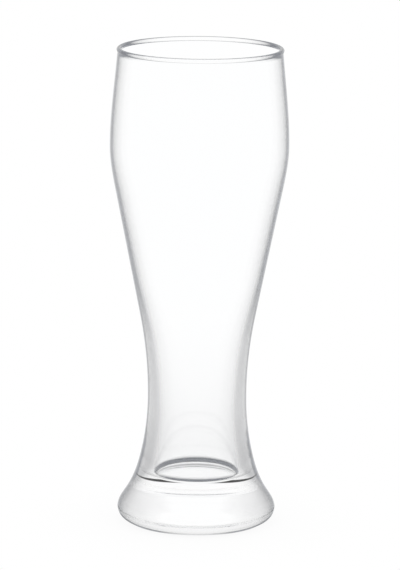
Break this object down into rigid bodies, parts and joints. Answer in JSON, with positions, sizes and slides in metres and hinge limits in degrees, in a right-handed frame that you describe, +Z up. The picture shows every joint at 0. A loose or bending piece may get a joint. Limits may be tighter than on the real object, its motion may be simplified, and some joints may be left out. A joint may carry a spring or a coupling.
{
  "type": "weizen glass",
  "caption": "Tall waisted wheat beer glass of clear glass, with a thin wide bowl, a narrow thick-walled waist and a heavy solid flared foot.",
  "frame": {"origin": "middle of the ring that the glass stands on, at table height", "axes": "+Z up along the axis of revolution, towards the mouth"},
  "size_m": [0.0885, 0.0884, 0.238],
  "materials": {
    "clear_glass": "fire polished, clear and colourless"
  },
  "bodies": {
    "root": {"bowl": "clear_glass", "foot": "clear_glass"}
  },
  "joints": []
}
